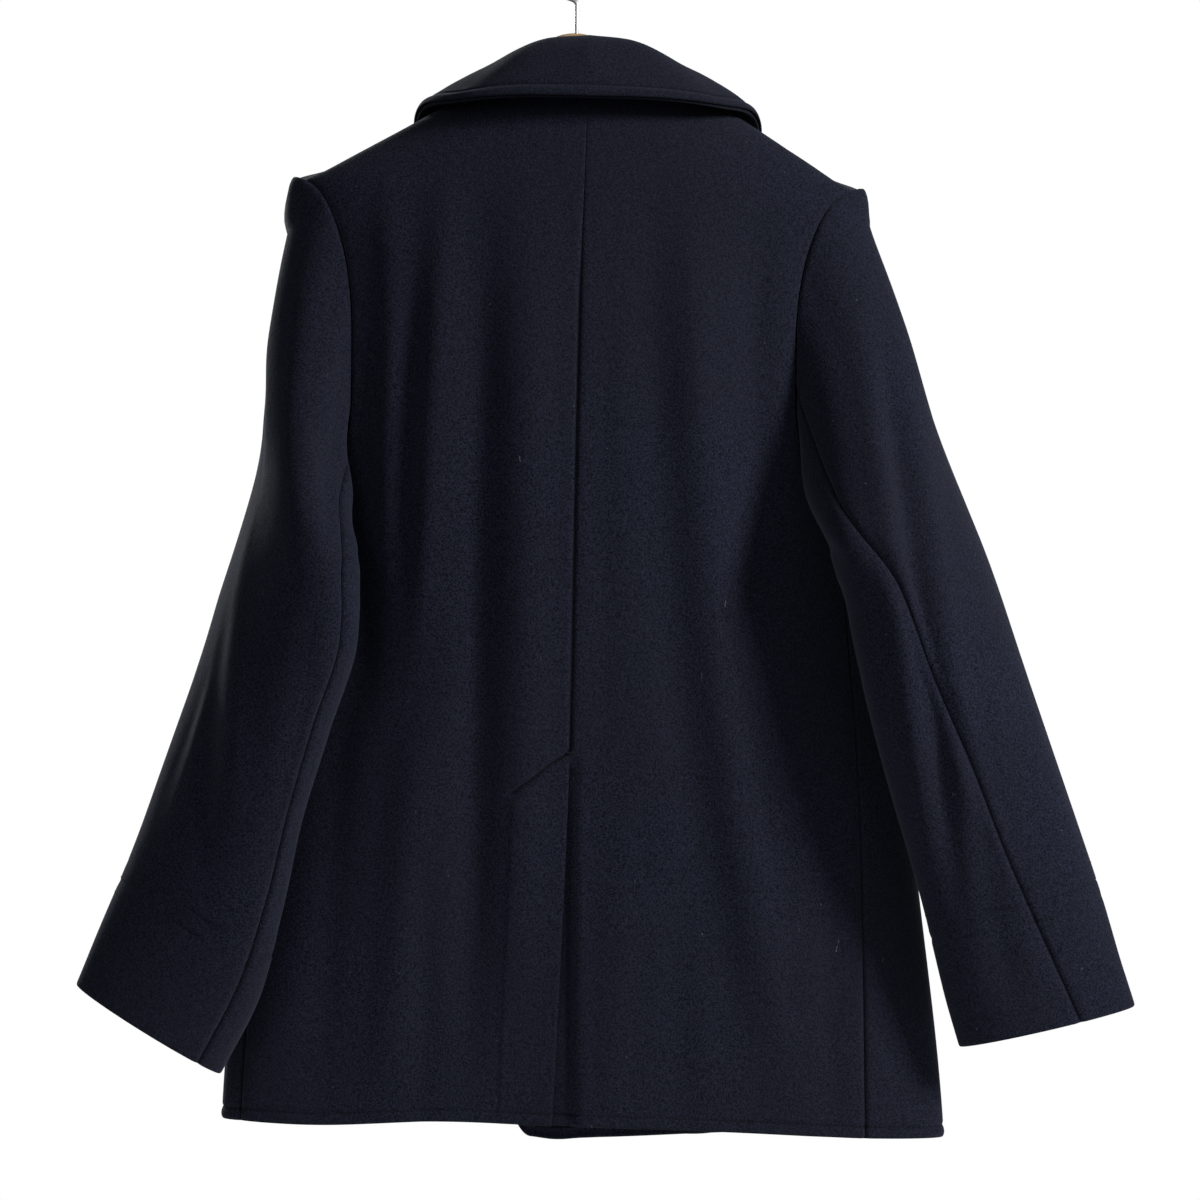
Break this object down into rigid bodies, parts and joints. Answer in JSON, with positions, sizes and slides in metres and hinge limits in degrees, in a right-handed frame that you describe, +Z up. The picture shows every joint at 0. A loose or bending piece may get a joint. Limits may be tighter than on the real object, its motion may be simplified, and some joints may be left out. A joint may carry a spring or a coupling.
{
  "type": "pea coat on a hanger",
  "caption": "Hip-length double-breasted coat of thick napped wool with a wide fall collar, long sleeves and a back vent, hung closed on a wooden hanger",
  "frame": {"origin": "the saddle of the hanger's hook, where it rests on a rail", "axes": "+Z up, +Y out of the coat's back, +X towards the wearer's left; the front faces -Y"},
  "size_m": [0.7975, 0.2255, 0.9204],
  "materials": {
    "wool": "thick napped melton wool, near-black navy, matt with a soft sheen",
    "button": "dark moulded buttons, satin",
    "hanger_wood": "light lacquered hardwood",
    "hook_steel": "bright drawn wire"
  },
  "bodies": {
    "root": {"back_left": "wool", "back_right": "wool", "front_left": "wool", "front_right": "wool", "top_sleeve_left": "wool", "top_sleeve_right": "wool", "under_sleeve_left": "wool", "under_sleeve_right": "wool", "top_collar": "wool", "under_collar": "wool", "lapel_left": "wool", "lapel_right": "wool", "pocket_welt_left": "wool", "pocket_welt_right": "wool", "button_1": "button", "button_2": "button", "button_3": "button", "button_4": "button", "button_5": "button", "button_6": "button", "hanger_bar": "hanger_wood", "hanger_hook": "hook_steel"}
  },
  "joints": []
}
